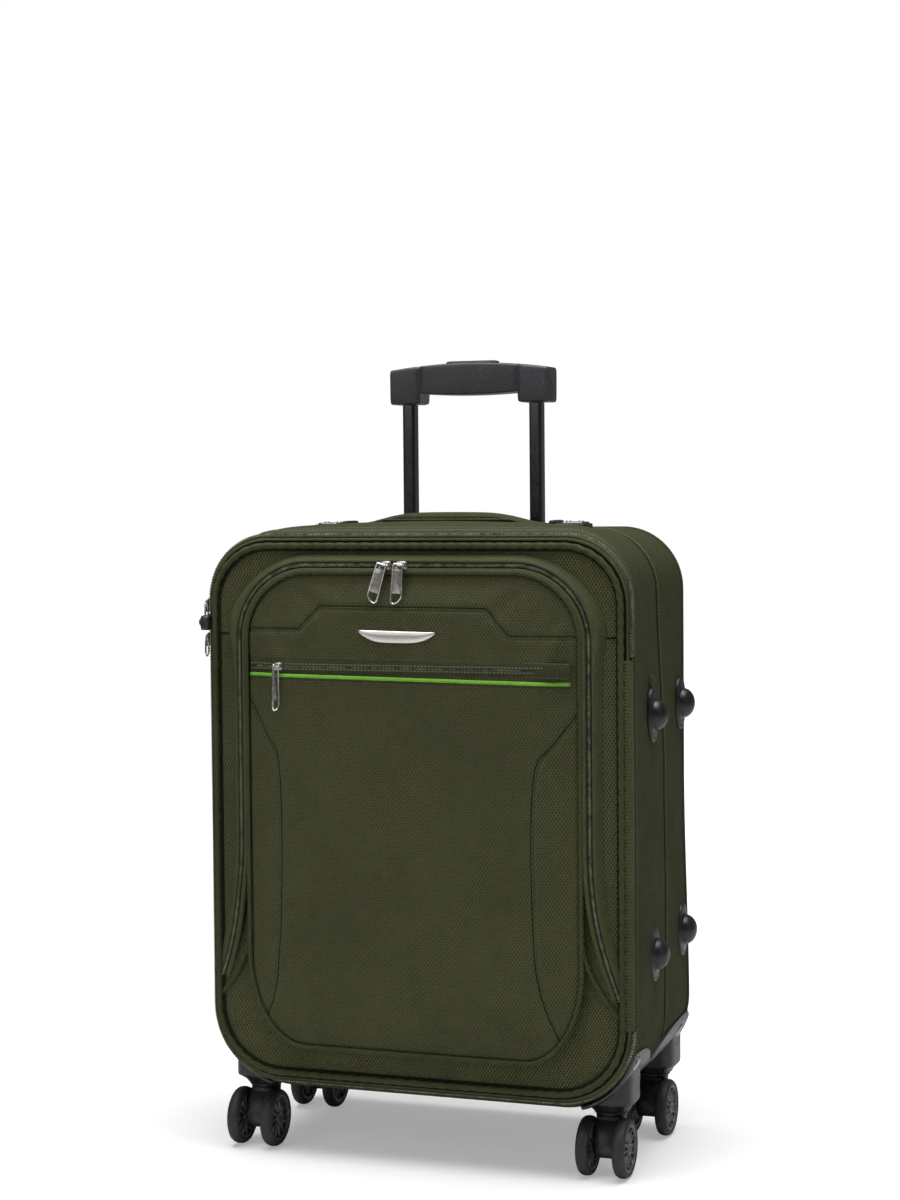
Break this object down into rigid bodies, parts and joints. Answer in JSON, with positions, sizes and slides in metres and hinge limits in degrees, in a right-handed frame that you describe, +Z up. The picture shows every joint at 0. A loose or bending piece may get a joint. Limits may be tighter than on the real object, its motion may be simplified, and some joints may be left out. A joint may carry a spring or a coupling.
{
  "type": "softside upright suitcase",
  "caption": "Softside cabin suitcase that stands on twin-wheel swivel casters, with a zip lid, a front zip pocket, carry handles and a telescopic pull handle.",
  "frame": {"origin": "on the floor, under the middle of the case's width and depth", "axes": "+Z up; the front pocket faces -Y and the back panel faces +Y; +X is the viewer's right when looking at the front"},
  "size_m": [0.4036, 0.2326, 0.697],
  "materials": {
    "patterned_weave": "matt olive green polyester with a small raised lozenge weave",
    "plain_nylon": "plain matt olive green nylon, padded, with a fine plain weave",
    "zip_fabric": "dark green zip tape with coil teeth",
    "neon_piping": "bright green woven piping",
    "lining_fabric": "dark grey quilted lining",
    "spring_wire": "drawn spring wire",
    "stiff_board": "pale grey extruded board",
    "grey_plastic": "dark grey fine-grained plastic",
    "black_plastic": "black moulded plastic, satin",
    "black_aluminium": "black anodised tube, fairly glossy",
    "silver_metal": "silver plated die casting, slightly worn",
    "tyre_rubber": "black soft tyre on a black moulded spoked wheel"
  },
  "bodies": {
    "case": {"front_gusset": "plain_nylon", "mid_piping": "plain_nylon", "rear_gusset": "plain_nylon", "back_panel": "plain_nylon", "main_zip_tape": "zip_fabric", "frame_wire": "spring_wire", "back_board": "stiff_board", "base_tray": "black_plastic", "trolley_tube_left": "black_aluminium", "trolley_tube_right": "black_aluminium", "trolley_foot": "black_plastic", "trolley_bezel": "black_plastic", "carry_bracket_left": "black_plastic", "carry_bracket_right": "black_plastic", "side_foot_front_upper": "black_plastic", "side_foot_front_lower": "black_plastic", "side_foot_rear_upper": "black_plastic", "side_foot_rear_lower": "black_plastic", "caster_housing_front_left": "black_plastic", "caster_housing_front_right": "black_plastic", "caster_housing_rear_left": "black_plastic", "caster_housing_rear_right": "black_plastic"},
    "handle_middle": {"middle_tube_left": "black_aluminium", "middle_tube_right": "black_aluminium"},
    "handle_top": {"inner_tube_left": "black_aluminium", "inner_tube_right": "black_aluminium", "handle_grip": "grey_plastic"},
    "button": {"handle_button": "black_plastic"},
    "top_carry": {"carry_handle": "plain_nylon"},
    "side_carry": {"side_handle": "plain_nylon"},
    "lid": {"lid_panel": "patterned_weave", "lid_zip_tape": "zip_fabric", "lid_lining": "lining_fabric", "pocket_zip_band": "zip_fabric", "pocket_lower_panel": "patterned_weave"},
    "pocket_flap": {"pocket_flap_panel": "patterned_weave", "small_zip_tape": "zip_fabric", "badge_plate": "silver_metal"},
    "pocket_zip_slider_left": {"pocket_slider_left": "silver_metal"},
    "pocket_zip_pull_left": {"pocket_pull_left": "silver_metal"},
    "pocket_zip_slider_right": {"pocket_slider_right": "silver_metal"},
    "pocket_zip_pull_right": {"pocket_pull_right": "silver_metal"},
    "small_zip_slider": {"small_slider": "silver_metal"},
    "small_zip_pull": {"small_pull": "silver_metal"},
    "main_zip_slider_upper": {"main_slider_upper": "silver_metal"},
    "main_zip_pull_upper": {"main_pull_upper": "silver_metal"},
    "main_zip_slider_lower": {"main_slider_lower": "silver_metal"},
    "main_zip_pull_lower": {"main_pull_lower": "silver_metal"},
    "fork_front_left": {"caster_fork_front_left": "black_plastic"},
    "wheel_front_left_outer": {"wheel_front_left_outer": "tyre_rubber"},
    "wheel_front_left_inner": {"wheel_front_left_inner": "tyre_rubber"},
    "fork_front_right": {"caster_fork_front_right": "black_plastic"},
    "wheel_front_right_outer": {"wheel_front_right_outer": "tyre_rubber"},
    "wheel_front_right_inner": {"wheel_front_right_inner": "tyre_rubber"},
    "fork_rear_left": {"caster_fork_rear_left": "black_plastic"},
    "wheel_rear_left_outer": {"wheel_rear_left_outer": "tyre_rubber"},
    "wheel_rear_left_inner": {"wheel_rear_left_inner": "tyre_rubber"},
    "fork_rear_right": {"caster_fork_rear_right": "black_plastic"},
    "wheel_rear_right_outer": {"wheel_rear_right_outer": "tyre_rubber"},
    "wheel_rear_right_inner": {"wheel_rear_right_inner": "tyre_rubber"}
  },
  "joints": [
    {"name": "middle_stage_slide", "type": "slide", "parent": "case", "child": "handle_middle", "axis": [0, 0, 1], "range_m": [0, 0.21]},
    {"name": "top_stage_slide", "type": "slide", "parent": "handle_middle", "child": "handle_top", "axis": [0, 0, 1], "range_m": [-0.147, 0.1]},
    {"name": "button_press", "type": "slide", "parent": "handle_top", "child": "button", "axis": [0, 0, -1], "range_m": [0, 0.003], "stiffness_N_per_m": 500},
    {"name": "carry_handle_lift", "type": "slide", "parent": "case", "child": "top_carry", "axis": [0, 0, 1], "range_m": [0, 0.014]},
    {"name": "side_handle_pull", "type": "slide", "parent": "case", "child": "side_carry", "axis": [-1, 0, 0], "range_m": [0, 0.014]},
    {"name": "lid_open", "type": "hinge", "parent": "case", "child": "lid", "pos_m": [0.1915, -0.088, 0.3], "axis": [0, 0, 1], "range_deg": [0, 180]},
    {"name": "pocket_open", "type": "hinge", "parent": "lid", "child": "pocket_flap", "pos_m": [0, -0.11, 0.1705], "axis": [1, 0, 0], "range_deg": [0, 75]},
    {"name": "pocket_slider_left_travel", "type": "slide", "parent": "pocket_flap", "child": "pocket_zip_slider_left", "axis": [-1, 0, 0], "range_m": [0, 0.062]},
    {"name": "pocket_slider_right_travel", "type": "slide", "parent": "pocket_flap", "child": "pocket_zip_slider_right", "axis": [1, 0, 0], "range_m": [0, 0.076]},
    {"name": "pocket_pull_left_swing", "type": "hinge", "parent": "pocket_zip_slider_left", "child": "pocket_zip_pull_left", "pos_m": [-0.021, -0.1115, 0.5165], "axis": [-1, 0, 0], "range_deg": [0, 120]},
    {"name": "pocket_pull_right_swing", "type": "hinge", "parent": "pocket_zip_slider_right", "child": "pocket_zip_pull_right", "pos_m": [-0.0067, -0.1115, 0.5165], "axis": [-1, 0, 0], "range_deg": [0, 120]},
    {"name": "small_slider_travel", "type": "slide", "parent": "pocket_flap", "child": "small_zip_slider", "axis": [1, 0, 0], "range_m": [0, 0.25]},
    {"name": "small_pull_swing", "type": "hinge", "parent": "small_zip_slider", "child": "small_zip_pull", "pos_m": [-0.1176, -0.1155, 0.43], "axis": [-1, 0, 0], "range_deg": [0, 120]},
    {"name": "main_slider_upper_travel", "type": "hinge", "parent": "case", "child": "main_zip_slider_upper", "pos_m": [-0.1345, -0.0883, 0.4865], "axis": [0, 1, 0], "range_deg": [0, 90]},
    {"name": "main_slider_lower_travel", "type": "slide", "parent": "case", "child": "main_zip_slider_lower", "axis": [0, 0, -1], "range_m": [0, 0.31]},
    {"name": "main_pull_upper_swing", "type": "hinge", "parent": "main_zip_slider_upper", "child": "main_zip_pull_upper", "pos_m": [-0.1949, -0.0883, 0.481], "axis": [0, 1, 0], "range_deg": [0, 120]},
    {"name": "main_pull_lower_swing", "type": "hinge", "parent": "main_zip_slider_lower", "child": "main_zip_pull_lower", "pos_m": [-0.1949, -0.0883, 0.451], "axis": [0, 1, 0], "range_deg": [0, 120]},
    {"name": "caster_front_left_swivel", "type": "hinge", "parent": "case", "child": "fork_front_left", "pos_m": [-0.1604, -0.05, 0.05], "axis": [0, 0, 1], "continuous": true},
    {"name": "wheel_front_left_outer_roll", "type": "hinge", "parent": "fork_front_left", "child": "wheel_front_left_outer", "pos_m": [-0.1604, -0.0665, 0.025], "axis": [1, 0, 0], "continuous": true},
    {"name": "wheel_front_left_inner_roll", "type": "hinge", "parent": "fork_front_left", "child": "wheel_front_left_inner", "pos_m": [-0.1604, -0.0665, 0.025], "axis": [1, 0, 0], "continuous": true},
    {"name": "caster_front_right_swivel", "type": "hinge", "parent": "case", "child": "fork_front_right", "pos_m": [0.1604, -0.05, 0.05], "axis": [0, 0, 1], "continuous": true},
    {"name": "wheel_front_right_outer_roll", "type": "hinge", "parent": "fork_front_right", "child": "wheel_front_right_outer", "pos_m": [0.1604, -0.0665, 0.025], "axis": [1, 0, 0], "continuous": true},
    {"name": "wheel_front_right_inner_roll", "type": "hinge", "parent": "fork_front_right", "child": "wheel_front_right_inner", "pos_m": [0.1604, -0.0665, 0.025], "axis": [1, 0, 0], "continuous": true},
    {"name": "caster_rear_left_swivel", "type": "hinge", "parent": "case", "child": "fork_rear_left", "pos_m": [-0.1604, 0.09, 0.05], "axis": [0, 0, 1], "continuous": true},
    {"name": "wheel_rear_left_outer_roll", "type": "hinge", "parent": "fork_rear_left", "child": "wheel_rear_left_outer", "pos_m": [-0.1604, 0.0735, 0.025], "axis": [1, 0, 0], "continuous": true},
    {"name": "wheel_rear_left_inner_roll", "type": "hinge", "parent": "fork_rear_left", "child": "wheel_rear_left_inner", "pos_m": [-0.1604, 0.0735, 0.025], "axis": [1, 0, 0], "continuous": true},
    {"name": "caster_rear_right_swivel", "type": "hinge", "parent": "case", "child": "fork_rear_right", "pos_m": [0.1604, 0.09, 0.05], "axis": [0, 0, 1], "continuous": true},
    {"name": "wheel_rear_right_outer_roll", "type": "hinge", "parent": "fork_rear_right", "child": "wheel_rear_right_outer", "pos_m": [0.1604, 0.0735, 0.025], "axis": [1, 0, 0], "continuous": true},
    {"name": "wheel_rear_right_inner_roll", "type": "hinge", "parent": "fork_rear_right", "child": "wheel_rear_right_inner", "pos_m": [0.1604, 0.0735, 0.025], "axis": [1, 0, 0], "continuous": true}
  ]
}
